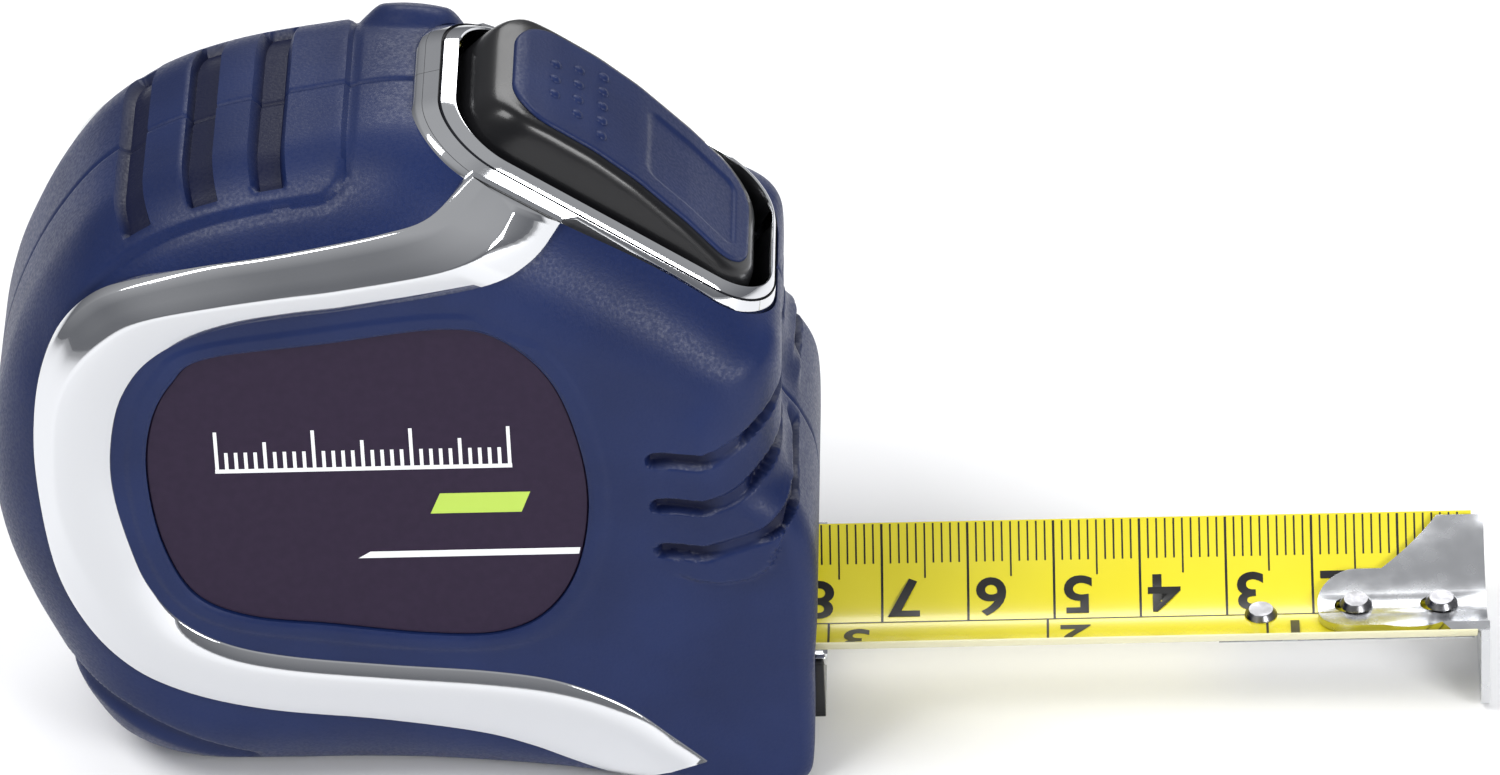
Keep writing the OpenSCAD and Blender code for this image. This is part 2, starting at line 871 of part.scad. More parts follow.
// Clip profile in Y and Z: fixed leg, bend, sprung leg and turned-out tip
module belt_clip() {
    y0 = grip_half - 0.4;
    y1 = y0 + clip_t;
    y2 = y1 + clip_gap;
    top = 60;
    r = clip_gap / 2;
    color(steel_color)
        difference() {
            translate([reel_x - clip_w / 2, 0, 0])
                rotate([90, 0, 90])
                    linear_extrude(height = clip_w)
                        polygon(concat(
                            [[y1, 34]],
                            arc(y1 + r, top, r, 180, 0, 12),
                            [[y2, 24], [y2 - 2.5, 17], [y2 - 0.3, 11.6]],
                            [[y2 + 0.5, 12], [y2 - 1.65, 17], [y2 + clip_t, 24]],
                            arc(y1 + r, top, r + clip_t, 0, 180, 12),
                            [[y0, 34]]
                        ));
            cross_bar([reel_x, reel_z], 1.5, 10, 26);
            cross_bar([reel_x, reel_z], 3.2, 26, 40);
        }
}

module clip_screw() {
    head_y = grip_half - 0.4 + clip_t;
    color(steel_color)
        difference() {
            union() {
                cross_bar([reel_x, reel_z], 1.2, 10, head_y);
                cross_bar([reel_x, reel_z], 2.6, head_y, head_y + 1.2);
            }
            translate([reel_x, head_y + 1.4, reel_z])
                cube([3.6, 1.6, 0.8], center = true);
        }
}

module case_screws() {
    head = 1.4;
    color(steel_color)
        for (p = boss_at)
            difference() {
                union() {
                    cross_bar(p, 1.1, -13, screw_head_y);
                    cross_bar(p, 2.2, screw_head_y, screw_head_y + head);
                }
                for (size = [[0.7, head, 3], [3, head, 0.7]])
                    translate([p[0], screw_head_y + head, p[1]])
                        cube(size, center = true);
            }
}

shell_right();
shell_left();
grip_right();
grip_left();
band_right();
band_left();
label_right();
label_left();
bezel_right();
bezel_left();
lock_button();
button_inlay();
button_pin();
lock_spring();
brake_lever();
brake_pad();
brake_pin();
reel_post();
reel_drum();
drum_cover();
power_spring();
blade_coil();
blade_lead();
blade();
lone_rivet();
hook_backing();
hook();
hook_rivets();
mouth_guard();
mouth_strip();
belt_clip();
clip_screw();
case_screws();
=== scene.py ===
import math

import bmesh
import bpy
import numpy as np
from mathutils import Matrix, Vector


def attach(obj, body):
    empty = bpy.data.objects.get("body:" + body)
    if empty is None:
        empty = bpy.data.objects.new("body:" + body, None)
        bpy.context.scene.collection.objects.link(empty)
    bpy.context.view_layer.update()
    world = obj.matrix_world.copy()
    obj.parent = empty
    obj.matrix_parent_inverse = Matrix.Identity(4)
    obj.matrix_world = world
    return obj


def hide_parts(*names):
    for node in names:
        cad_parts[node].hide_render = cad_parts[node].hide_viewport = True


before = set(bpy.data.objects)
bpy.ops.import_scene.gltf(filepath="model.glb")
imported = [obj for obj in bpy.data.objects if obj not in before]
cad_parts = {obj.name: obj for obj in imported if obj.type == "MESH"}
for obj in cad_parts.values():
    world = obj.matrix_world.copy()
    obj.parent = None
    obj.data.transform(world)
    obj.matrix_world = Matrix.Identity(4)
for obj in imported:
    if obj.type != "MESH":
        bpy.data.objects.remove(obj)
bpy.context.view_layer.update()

# All sizes below are millimetres in the frame's axes unless a name says otherwise.
MM = 0.001

# The two sides of the case: right is the one in front of the camera.
SIDE_NAMES = {-1: "right", 1: "left"}

# The flat face round the button slopes down to the front.
SLOPE_DEG = 35.5
SLOPE_ORIGIN = np.array([24.5, 0.0, 72.8])

# Points on a side, x and z, that the outlines are measured from.
CASE_CENTRE = np.array([0.0, 41.0])
LABEL_CENTRE = np.array([-2.5, 45.0])
GRIP_HALF = 21.6
RUBBER = 1.8

# The blade is a strip bent round an axis along x. Its scale starts at the hook.
ZERO_X = 124.0
MOUTH_X = 45.3
BLADE_RADIUS = 13.95
BLADE_AXIS_Z = 20.9
BLADE_T = 0.15
BLADE_EDGE_DEG = 55.4
PRINTED_RADIUS = BLADE_RADIUS - BLADE_T
BLADE_HALF_ARC = math.radians(BLADE_EDGE_DEG) * PRINTED_RADIUS
INCH = 25.4

# Middle outline of the case: x, z and the radius of the long rounded edge there.
RIM = np.array([
    (44, 57.5, 9), (43, 50, 9), (43.2, 42.5, 7), (45.6, 38, 5), (47.2, 33, 3.5),
    (47.3, 25, 3), (46.6, 15, 2.5), (46.3, 5, 2), (45.4, 0.7, 2), (42, 0, 2),
    (30, 0, 4), (18, 0, 8), (2, 0, 11), (-14, 0, 12), (-26, 0.8, 12),
    (-33.4, 4, 12), (-37.4, 9.5, 12), (-39.8, 16, 12), (-43, 24, 12), (-45.3, 32, 12),
    (-46.1, 40, 12), (-45.4, 48, 12), (-43.7, 55, 12), (-41.2, 61.5, 13),
    (-37.6, 68, 13), (-32.4, 74, 13), (-26, 78.6, 13), (-18, 81.7, 13),
    (-8, 83.7, 13), (3, 85.2, 14), (12, 82.3, 14), (22, 76.2, 14), (32, 69, 12),
    (40, 61.8, 10),
], float)

# Outline of the side label.
LABEL_RIM = np.array([
    (6.5, 65.9), (13.1, 64.3), (18.4, 58.6), (21.2, 50), (22, 41), (20.3, 32), (16.6, 26),
    (11.1, 23.2), (3.1, 23.2), (-8, 24.8), (-17.3, 26.2), (-23.3, 29.6), (-26.5, 37),
    (-27.6, 46.6), (-26.6, 54), (-24, 59.2), (-20, 62.5), (-7, 64.2),
], float)

# Chrome band stations: outer edge x z, crease x z, inner edge x z, outer depth, inner depth.
BAND = np.array([
    (10.8, 82.2, 15.6, 79, 20.4, 75.6, 15.2, 15.2),
    (6, 79.2, 12.6, 76, 17, 73, 18.6, 19),
    (0.8, 78, 7, 73.9, 11.3, 71.2, 20, 21.2),
    (-6.4, 76.6, -4, 72, -3, 69, 20.5, 21.8),
    (-13, 75.4, -11, 71.1, -10, 68.1, 20.5, 21.8),
    (-20, 74.1, -17.6, 70.2, -16.6, 67, 20.5, 21.8),
    (-28.4, 71.8, -25.4, 68.8, -22.4, 65, 20.5, 21.8),
    (-33, 69.2, -30.2, 66.4, -26.4, 62.3, 20, 21.8),
    (-36.6, 65, -34.4, 62.2, -29, 58.8, 20, 21.8),
    (-39, 59, -37, 57, -30.6, 54.6, 20, 21.8),
    (-40.2, 51, -38, 49, -31.5, 48.6, 20, 21.8),
    (-40.2, 43, -37.8, 42, -31.3, 43, 20, 21.8),
    (-38.9, 32.5, -36, 34.6, -30, 36.2, 20, 21.8),
    (-36, 25, -33.2, 28.4, -28.4, 31, 20, 21.8),
    (-31.7, 19.8, -29.2, 23.8, -25.2, 26, 20, 21.8),
    (-24.7, 15.6, -23, 19.8, -20.2, 22.6, 20, 21.8),
    (-15.7, 13, -14.6, 17.4, -13.2, 20.6, 20, 21.8),
    (-3, 11.3, -2.4, 15.9, -2, 19.1, 20, 21.8),
    (8, 9.2, 9, 14.4, 10, 17.8, 20, 21.8),
    (14, 7.1, 16, 12.6, 18, 16, 19.9, 21.8),
    (18.4, 4.8, 21.6, 9.8, 25, 12.4, 19.7, 21.8),
    (22.2, 2.6, 26.4, 6.2, 30.4, 7.6, 19.6, 21.8),
    (25, 1.2, 29.6, 3, 34, 4.2, 19.6, 21.8),
], float)

# Rounded rectangles on the slope: rear end, front end, half width, corner radius.
OPENING = (-23.9, 24.1, 14.5, 9)
BEZEL_OUTSIDE = (-24, 24.2, 14.6, 9)
BEZEL_INSIDE = (-20.3, 21.7, 12.1, 7)
BUTTON_OUTLINE = (-19.8, 21.1, 11.5, 7)
PAD_OUTLINE = (-15.8, 18.7, 8.95, 5.2)
OPENING_HEIGHTS = (-4.2, 12)
# The slot that the blade leaves through, seen from above, and its heights.
MOUTH = (38, 60, 13.6, 0.6)
MOUTH_HEIGHTS = (3.9, 15.5)

# Top of the button along the slope: distance down the slope, height off it.
BUTTON_TOP = np.array([
    (-19.8, 0.2), (-19.2, 1.9), (-18.3, 3.9), (-17, 5.5), (-15, 6.3), (-11, 6.5), (-5, 6.4),
    (1, 5.7), (9, 4), (16.5, 1.9), (21.1, 0.75),
], float)


# ---------------------------------------------------------------- small helpers

def smoothstep(low, high, value):
    """0 at low, 1 at high, smooth in between. With low above high it falls instead."""
    t = np.clip((value - low) / (high - low), 0, 1)
    return t * t * (3 - 2 * t)


def spline(a, b, c, d, t):
    """Catmull-Rom curve from b to c."""
    return 0.5 * (2 * b + (c - a) * t + (2 * a - 5 * b + 4 * c - d) * t ** 2
                  + (3 * b - a - 3 * c + d) * t ** 3)


def closed_curve(points, steps):
    """Smooth loop through the points, with this many steps from each to the next."""
    n = len(points)
    return np.array([
        spline(points[i - 1], points[i], points[(i + 1) % n], points[(i + 2) % n], k / steps)
        for i in range(n) for k in range(steps)
    ])


def open_curve(points, steps):
    """Smooth line through the points, ends included."""
    ends = np.vstack([2 * points[0] - points[1], points, 2 * points[-1] - points[-2]])
    out = [
        spline(ends[i - 1], ends[i], ends[i + 1], ends[i + 2], k / steps)
        for i in range(1, len(ends) - 2) for k in range(steps)
    ]
    return np.array(out + [points[-1]])


def on_slope(points):
    """Points (down the slope, across, off the slope) to the frame."""
    a = math.radians(SLOPE_DEG)
    p = np.asarray(points, float)
    x = p[..., 0] * math.cos(a) + p[..., 2] * math.sin(a)
    z = -p[..., 0] * math.sin(a) + p[..., 2] * math.cos(a)
    return np.stack([x, p[..., 1], z], -1) + SLOPE_ORIGIN


def rounded_rectangle(x0, x1, half, r, arc=14, side=10):
    """Closed outline from its ends, half width and corner radius.

    It has the same number of points whatever its size: arc steps to a corner, side to an edge.
    """
    points = []
    corners = [(x1 - r, half - r, 0), (x0 + r, half - r, 90),
               (x0 + r, r - half, 180), (x1 - r, r - half, 270)]
    for k, (cx, cy, start) in enumerate(corners):
        for i in range(arc + 1):
            a = math.radians(start + 90 * i / arc)
            points.append((cx + r * math.cos(a), cy + r * math.sin(a)))
        nx, ny, n_start = corners[(k + 1) % 4]
        a = math.radians(n_start)
        end = (nx + r * math.cos(a), ny + r * math.sin(a))
        begin = points[-1]
        for i in range(1, side):
            t = i / side
            points.append((begin[0] + (end[0] - begin[0]) * t, begin[1] + (end[1] - begin[1]) * t))
    return np.array(points)


def shrunk(shape, d, least_radius):
    """A rounded rectangle's ends, half width and radius, all moved in by d."""
    x0, x1, half, r = shape
    return x0 + d, x1 - d, half - d, max(r - d, least_radius)


def polyline_distance(points, line):
    """How far each point is from a line of straight stretches."""
    best = np.full(points.shape[:-1], np.inf)
    for a, b in zip(line[:-1], line[1:]):
        ab = b - a
        t = np.clip(((points - a) @ ab) / (ab @ ab), 0, 1)
        best = np.minimum(best, np.linalg.norm(points - (a + t[..., None] * ab), axis=-1))
    return best


def build(name, points, faces, materials, body, node=None, sharp_deg=40, recalc=True):
    """One finished piece: mesh, shading, material, and the body it rides on."""
    mesh = bpy.data.meshes.new(name)
    mesh.from_pydata((np.asarray(points) * MM).tolist(), [], [tuple(map(int, f)) for f in faces])
    mesh.validate()
    obj = bpy.data.objects.new(name, mesh)
    bpy.context.scene.collection.objects.link(obj)
    for m in materials:
        mesh.materials.append(m)
    if recalc:
        face_outwards(mesh)
    shade(mesh, sharp_deg)
    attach(obj, body)
    if node:
        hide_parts(node)
    return obj


def face_outwards(mesh):
    bm = bmesh.new()
    bm.from_mesh(mesh)
    bmesh.ops.recalc_face_normals(bm, faces=bm.faces)
    bm.to_mesh(mesh)
    bm.free()


def shade(mesh, sharp_deg):
    mesh.polygons.foreach_set("use_smooth", [True] * len(mesh.polygons))
    mesh.set_sharp_from_angle(angle=math.radians(sharp_deg))


def ring_faces(rings, n):
    """Quads between consecutive rings of n points."""
    return [
        (i * n + j, i * n + (j + 1) % n, (i + 1) * n + (j + 1) % n, (i + 1) * n + j)
        for i in range(rings - 1) for j in range(n)
    ]


def capped_faces(rings, n):
    """Quads between consecutive rings of n points, and a face over each end."""
    last = (rings - 1) * n
    return ring_faces(rings, n) + [tuple(range(n)), tuple(range(last, last + n))[::-1]]


def cut(obj, cutters):
    """Takes closed cutter solids out of obj for good."""
    for points, faces in cutters:
        mesh = bpy.data.meshes.new("cutter")
        mesh.from_pydata((np.asarray(points) * MM).tolist(), [], faces)
        face_outwards(mesh)
        tool = bpy.data.objects.new("cutter", mesh)
        bpy.context.scene.collection.objects.link(tool)
        mod = obj.modifiers.new("cut", "BOOLEAN")
        mod.operation = "DIFFERENCE"
        mod.solver = "EXACT"
        mod.object = tool
        bpy.context.view_layer.update()
        graph = bpy.context.evaluated_depsgraph_get()
        made = bpy.data.meshes.new_from_object(obj.evaluated_get(graph))
        obj.modifiers.remove(mod)
        old = obj.data
        obj.data = made
        bpy.data.meshes.remove(old)
        bpy.data.objects.remove(tool)
        bpy.data.meshes.remove(mesh)


def prism(outline, low, high, place):
    """Closed solid from an outline between two heights."""
    bottom = [(x, y, low) for x, y in outline]
    top = [(x, y, high) for x, y in outline]
    return place(np.array(bottom + top)), capped_faces(2, len(outline))


# ---------------------------------------------------------------- materials

# Mesh attribute that says how deep in a slot or groove a point of the rubber lies, 0 to 1. It darkens
# the rubber's colour there as painted shade in the slots and grooves.
PAINTED_SHADE_ATTRIBUTE = "painted_shade"


def new_material(name, color, roughness, metallic=0.0):
    mat = bpy.data.materials.new(name)
    mat.use_nodes = True
    shader = mat.node_tree.nodes["Principled BSDF"]
    shader.inputs["Base Color"].default_value = (*color, 1)
    shader.inputs["Roughness"].default_value = roughness
    shader.inputs["Metallic"].default_value = metallic
    return mat, mat.node_tree, shader


def noise(tree, scale, detail):
    """Fine grain fixed to the object, at this many cycles to the metre."""
    coords = tree.nodes.new("ShaderNodeTexCoord")
    tex = tree.nodes.new("ShaderNodeTexNoise")
    tex.inputs["Scale"].default_value = scale
    tex.inputs["Detail"].default_value = detail
    tree.links.new(coords.outputs["Object"], tex.inputs["Vector"])
    return tex.outputs["Fac"]


def add_bump(tree, shader, source, strength, distance_mm):
    bump = tree.nodes.new("ShaderNodeBump")
    bump.inputs["Strength"].default_value = strength
    bump.inputs["Distance"].default_value = distance_mm * MM
    tree.links.new(source, bump.inputs["Height"])
    tree.links.new(bump.outputs["Normal"], shader.inputs["Normal"])


def add_ramp(tree, source, low, high, target, span=(0.35, 0.65)):
    """Maps a texture to a range of colour on one socket."""
    ramp = tree.nodes.new("ShaderNodeValToRGB")
    ramp.color_ramp.elements[0].position = span[0]
    ramp.color_ramp.elements[1].position = span[1]
    ramp.color_ramp.elements[0].color = (*low, 1)
    ramp.color_ramp.elements[1].color = (*high, 1)
    tree.links.new(source, ramp.inputs["Fac"])
    tree.links.new(ramp.outputs["Color"], target)


def vary_roughness(tree, shader, source, low, high):
    add_ramp(tree, source, (low,) * 3, (high,) * 3, shader.inputs["Roughness"])


# Sockets of a Mix node in its colour form, where several share one name.
MIX_FACTOR, MIX_A, MIX_B, MIX_RESULT = 0, 6, 7, 2


def rubber_material():
    """Matt navy rubber, cloudy and grained, with painted shade: darker colour in the slots and
    grooves that the mesh attribute marks.
    """
    mat, tree, shader = new_material("navy_rubber", (0.0085, 0.019, 0.088), 0.42)
    shader.inputs["Specular IOR Level"].default_value = 0.25
    grain = noise(tree, 2600, 2)
    add_bump(tree, shader, grain, 0.22, 0.12)
    vary_roughness(tree, shader, grain, 0.36, 0.52)
    painted_shade = tree.nodes.new("ShaderNodeAttribute")
    painted_shade.attribute_name = PAINTED_SHADE_ATTRIBUTE
    mix = tree.nodes.new("ShaderNodeMix")
    mix.data_type = "RGBA"
    # Painted shade: the near-black navy that the colour turns to on slot and groove floors.
    mix.inputs[MIX_B].default_value = (0.0022, 0.0045, 0.028, 1)
    tree.links.new(painted_shade.outputs["Fac"], mix.inputs[MIX_FACTOR])
    add_ramp(tree, noise(tree, 60, 4), (0.0055, 0.0135, 0.062), (0.008, 0.0185, 0.080),
             mix.inputs[MIX_A])
    tree.links.new(mix.outputs[MIX_RESULT], shader.inputs["Base Color"])
    return mat


def chrome_material():
    mat, tree, shader = new_material("chrome", (0.68, 0.69, 0.71), 0.05, 1.0)
    vary_roughness(tree, shader, noise(tree, 25, 3), 0.035, 0.09)
    return mat


def label_material():
    mat, tree, shader = new_material("label_film", (0.022, 0.013, 0.028), 0.45)
    shader.inputs["Specular IOR Level"].default_value = 0.18
    weave = noise(tree, 900, 2)
    add_ramp(tree, weave, (0.019, 0.0105, 0.029), (0.022, 0.0125, 0.033), shader.inputs["Base Color"])
    add_bump(tree, shader, weave, 0.08, 0.05)
    return mat


def gloss_black_material():
    mat, tree, shader = new_material("gloss_black", (0.005, 0.005, 0.006), 0.28)
    shader.inputs["Specular IOR Level"].default_value = 0.32
    shader.inputs["Coat Weight"].default_value = 0.12
    shader.inputs["Coat Roughness"].default_value = 0.1
    vary_roughness(tree, shader, noise(tree, 40, 3), 0.24, 0.34)
    return mat


def dark_plastic_material():
    mat, tree, shader = new_material("dark_plastic", (0.014, 0.015, 0.02), 0.45)
    add_bump(tree, shader, noise(tree, 1500, 3), 0.2, 0.1)
    return mat


def steel_material():
    mat, tree, shader = new_material("steel", (0.62, 0.63, 0.65), 0.22, 1.0)
    vary_roughness(tree, shader, noise(tree, 420, 3), 0.2, 0.28)
    add_bump(tree, shader, noise(tree, 900, 2), 0.05, 0.05)
    return mat


def rivet_material():
    mat, tree, shader = new_material("rivet_steel", (0.2, 0.2, 0.21), 0.26, 1.0)
    vary_roughness(tree, shader, noise(tree, 700, 3), 0.2, 0.36)
    return mat


def pale_plastic_material():
    mat, tree, shader = new_material("drum_plastic", (0.66, 0.65, 0.6), 0.5)
    add_bump(tree, shader, noise(tree, 800, 2), 0.15, 0.1)
    return mat


def blade_material():
    mat, tree, shader = new_material("blade_yellow", (0.79, 0.69, 0.015), 0.3)
    shader.inputs["Coat Weight"].default_value = 0.5
    shader.inputs["Coat Roughness"].default_value = 0.15
    add_ramp(tree, noise(tree, 50, 3), (0.77, 0.67, 0.012), (0.81, 0.715, 0.025),
             shader.inputs["Base Color"])
    return mat


def cream_material():
    mat, tree, shader = new_material("blade_underside", (0.8, 0.76, 0.5), 0.35)
    vary_roughness(tree, shader, noise(tree, 60, 3), 0.3, 0.42)
    return mat


def ink_material(name, color):
    mat, tree, shader = new_material(name, color, 0.4)
    vary_roughness(tree, shader, noise(tree, 400, 2), 0.34, 0.46)
    return mat


RUBBER_MAT = rubber_material()
CHROME = chrome_material()
LABEL = label_material()
GLOSS_BLACK = gloss_black_material()
DARK = dark_plastic_material()
STEEL = steel_material()
RIVET = rivet_material()
DRUM = pale_plastic_material()
BLADE = blade_material()
CREAM = cream_material()
INK_BLACK = ink_material("ink_black", (0.008, 0.008, 0.008))
INK_WHITE = ink_material("ink_white", (0.85, 0.86, 0.88))
INK_GREEN = ink_material("ink_green", (0.45, 0.63, 0.08))


# ---------------------------------------------------------------- rubber grips

# Middle line of the top finger groove: way round from the side face to the front, height.
FINGER_GROOVE = np.array([
    (29.7, 47.0), (35.0, 47.2), (39.0, 48.6), (43.4, 50.3), (48.6, 51.6), (56.7, 52.0),
    (66.0, 52.0),
])
GROOVE_COUNT = 3
GROOVE_STEP = 6.35
GROOVE_SHIFT = 0.35
GROOVE_DEPTH = 1.3
# Lower end of the finger bulge on the side and round the front: x, z.
BULGE_END = np.array([
    (31, 31), (33.5, 30.2), (36.7, 29.8), (39.9, 30.3), (42.1, 31.8), (43.7, 36.0), (44.6, 38.4),
])
BULGE_HEIGHT = 0.95
HEEL_CREASE = np.array([(-39.2, 15.6), (-36.2, 13.6), (-32.5, 11.6), (-25.4, 7.4), (-19.0, 4.2)])
HEEL_DEPTH = 1.1
SLOT_X = (-12.2, -20.2, -28.0)
SLOT_DEPTH = 1.35
# Raised panel on top: its front corner (x, y), that corner's radius and the panel's half width.
PANEL_CORNER = (-6.4, 14.2)
PANEL_RADIUS = 3.2
PANEL_HALF = 17.4
# Low knob on top, on the left side only.
KNOB = (3.2, 15.0)
KNOB_STRETCH = 1.35
KNOB_HEIGHT = 1.8


def panel_depth(x, y):
    """How far inside the top panel's edge a point lies."""
    corner_x, corner_y = PANEL_CORNER
    corner = np.hypot(np.maximum(x - corner_x, 0), np.maximum(y - corner_y, 0))
    edges = np.minimum(corner_x + PANEL_RADIUS - x, PANEL_HALF - y)
    return np.where((x > corner_x) & (y > corner_y), PANEL_RADIUS - corner, edges)


def finger_grooves(x, y, z, side):
    """How far into a finger groove a point lies, 0 to 1 for each groove in turn."""
    ends = smoothstep(1.0, 5.0, y) if side < 0 else smoothstep(6.0, 13.0, y)
    way = x + GRIP_HALF - np.minimum(y, GRIP_HALF)
    shallow = 1 - 0.65 * smoothstep(34.0, 37.5, way) * smoothstep(43.0, 40.0, way)
    for k in range(GROOVE_COUNT):
        start = FINGER_GROOVE[0, 0] + k * GROOVE_SHIFT
        height = np.interp(way, FINGER_GROOVE[:, 0], FINGER_GROOVE[:, 1]) - k * GROOVE_STEP
        away = np.hypot(z - height, np.maximum(start - way, 0))
        yield smoothstep(1.15, 0.65, away) * ends * shallow


def grip_relief(base, arc, slots, side):
    """How far the moulded detail stands off the plain surface, and how deep in a slot or groove it
    lies (0 to 1), which sets the painted shade there.
    """
    x, y, z = base[..., 0], np.abs(base[..., 1]), base[..., 2]
    painted_shade = np.zeros(np.broadcast(x, arc).shape)
    top = z > 55

    parting_line = np.exp(-(y / 0.28) ** 2)
    h = -0.25 * parting_line
    panel = panel_depth(x, y)
    rear_fade = smoothstep(-39.0, -31.0, x)
    h += 0.5 * smoothstep(0, 0.7, panel) * top * rear_fade
    h -= 0.3 * np.exp(-(panel / 0.45) ** 2) * top * rear_fade
    for slot in slots:
        across = smoothstep(1.9, 1.5, np.abs(arc - slot)) * smoothstep(15.7, 15.0, y) * top
        h -= SLOT_DEPTH * across
        painted_shade = np.maximum(painted_shade, across)

    low_end = np.interp(x, BULGE_END[:, 0], BULGE_END[:, 1])
    bulge = smoothstep(30.5, 35.5, x) * smoothstep(57.0, 50.0, z) * smoothstep(2.0, 9.0, y)
    h += BULGE_HEIGHT * smoothstep(-0.3, 0.7, z - low_end) * bulge
    for groove in finger_grooves(x, y, z, side):
        h -= GROOVE_DEPTH * groove
        painted_shade = np.maximum(painted_shade, groove)

    heel = polyline_distance(np.stack([x, z], -1), HEEL_CREASE)
    h -= HEEL_DEPTH * smoothstep(1.7, 0.3, heel) * smoothstep(3.0, 6.0, y)
    if side > 0:
        knob = np.hypot((x - KNOB[0]) / KNOB_STRETCH, y - KNOB[1])
        h += KNOB_HEIGHT * smoothstep(5.0, 2.4, knob) * top
    return h, painted_shade


def rim_at(steps):
    """The case outline with steps between its points, nowhere below the base."""
    curve = closed_curve(RIM, steps)
    curve[:, 1] = np.maximum(curve[:, 1], 0)
    return curve


def inset(points, d):
    """Points of the case outline moved towards the middle by d."""
    q = points - CASE_CENTRE
    return CASE_CENTRE + q * (1 - d / np.linalg.norm(q, axis=1))[:, None]


def label_at(outline, grow):
    """The label outline, grown a little, in the directions of another outline's points."""
    dense = closed_curve(LABEL_RIM, 24) - LABEL_CENTRE
    angle = np.arctan2(dense[:, 1], dense[:, 0])
    order = np.argsort(angle)
    want = outline - LABEL_CENTRE
    want_angle = np.arctan2(want[:, 1], want[:, 0])
    radius = np.interp(want_angle, angle[order], np.hypot(*dense.T)[order], period=2 * math.pi)
    radius = radius + grow
    return LABEL_CENTRE + np.stack([np.cos(want_angle), np.sin(want_angle)], 1) * radius[:, None]


# Steps from the middle plane out past the parting line, closer where the groove is.
SEAM_STEPS = (0, 0.12, 0.3, 0.55, 0.9)
FLAT_STEPS = 19
ROUND_STEPS = 39
FACE_STEPS = 46
INNER_STEPS = 6
LABEL_GAP = 0.05


def at_depth(outline, y):
    """An outline x, z placed at y, which may differ from point to point."""
    return np.column_stack([outline[:, 0], np.broadcast_to(y, len(outline)), outline[:, 1]])


def plain_outside(rim, r, hole):
    """Rings over the grip's plain outer surface, from the middle plane to the label."""
    seam = SEAM_STEPS[-1]
    flat = list(SEAM_STEPS)
    flat += [seam + (GRIP_HALF - r - seam) * t for t in np.linspace(0, 1, FLAT_STEPS + 1)[1:]]
    rings = [at_depth(rim, y) for y in flat]
    for t in np.linspace(0, math.pi / 2, ROUND_STEPS + 1)[1:]:
        rings.append(at_depth(inset(rim, r * (1 - math.cos(t))), GRIP_HALF - r + r * math.sin(t)))
    edge = inset(rim, r)
    for t in np.linspace(0, 1, FACE_STEPS + 1)[1:]:
        rings.append(at_depth(edge + (hole - edge) * t, GRIP_HALF))
    return np.array(rings)


def inside(rim, r, hole):
    """Rings over the grip's inner surface, from the label back to the middle plane."""
    depth = GRIP_HALF - RUBBER
    r_in = np.maximum(r - RUBBER, 1)
    rings = [at_depth(hole, depth)]
    for t in np.linspace(math.pi / 2, 0, INNER_STEPS):
        p = inset(rim, RUBBER + r_in * (1 - math.cos(t)))
        rings.append(at_depth(p, depth - r_in + r_in * math.sin(t)))
    rings.append(at_depth(inset(rim, RUBBER), 0))
    return np.array(rings)


def outward_normals(grid):
    """Unit normals of a grid of rings, away from the middle of the case."""
    across = np.gradient(grid, axis=0)
    along = (np.roll(grid, -1, axis=1) - np.roll(grid, 1, axis=1)) / 2
    normal = np.cross(across, along)
    normal /= np.maximum(np.linalg.norm(normal, axis=-1, keepdims=True), 1e-9)
    centre = np.array([CASE_CENTRE[0], 0, CASE_CENTRE[1]])
    return normal * np.sign(np.sum(normal * (grid - centre), -1, keepdims=True))


def grip(side):
    """One half of the rubber overmould, open at the label, the button and the mouth."""
    curve = rim_at(24)
    rim, r = curve[:, :2], curve[:, 2]
    n = len(rim)
    arc_length = np.concatenate([[0], np.cumsum(np.linalg.norm(np.diff(rim, axis=0), axis=1))])
    top = rim[:, 1] > 60
    slots = [arc_length[np.argmin(np.abs(rim[:, 0] - x) + 1e3 * ~top)] for x in SLOT_X]
    hole = label_at(inset(rim, r), LABEL_GAP)

    outer = plain_outside(rim, r, hole) * np.array([1, side, 1])
    relief, painted_shade = grip_relief(outer, arc_length[None, :], slots, side)
    to_label = np.linalg.norm(outer[..., ::2] - hole[None], axis=-1)
    on_face = np.abs(outer[..., 1]) > GRIP_HALF - 0.01
    label_lip = smoothstep(2.6, 1.6, to_label) - smoothstep(0.5, 0.0, to_label)
    relief += 0.28 * label_lip * on_face
    outer = outer + outward_normals(outer) * relief[..., None]
    outer[0, :, 1] = 0.0
    outer[..., 2] = np.maximum(outer[..., 2], 0.0)
    inner = inside(rim, r, hole) * np.array([1, side, 1])

    points = np.vstack([outer.reshape(-1, 3), inner.reshape(-1, 3)])
    rings = len(outer) + len(inner)
    last = (rings - 1) * n
    faces = ring_faces(rings, n)
    faces += [(last + j, last + (j + 1) % n, (j + 1) % n, j) for j in range(n)]
    name = SIDE_NAMES[side]
    obj = build("grip_body_" + name, points, faces, [RUBBER_MAT], "case",
                "grip_" + name)
    # The slot and groove depths go on the mesh, where the rubber material turns them into painted
    # shade.
    painted_shade_layer = obj.data.attributes.new(PAINTED_SHADE_ATTRIBUTE, "FLOAT", "POINT")
    painted_shade_layer.data.foreach_set("value", np.append(painted_shade, np.zeros(len(inner) * n)))
    cut(obj, [
        prism(rounded_rectangle(*OPENING), *OPENING_HEIGHTS, on_slope),
        prism(rounded_rectangle(*MOUTH, arc=4), *MOUTH_HEIGHTS, lambda p: p),
    ])
    shade(obj.data, 42)


# ---------------------------------------------------------------- bands and labels

def rim_by_angle():
    """The case outline as angle round its centre, reach and edge radius."""
    curve = rim_at(12)
    q = curve[:, :2] - CASE_CENTRE
    angle = np.arctan2(q[:, 1], q[:, 0])
    order = np.argsort(angle)
    return angle[order], np.hypot(*q.T)[order], curve[order, 2]


RIM_ANGLE, RIM_REACH, RIM_RADIUS = rim_by_angle()


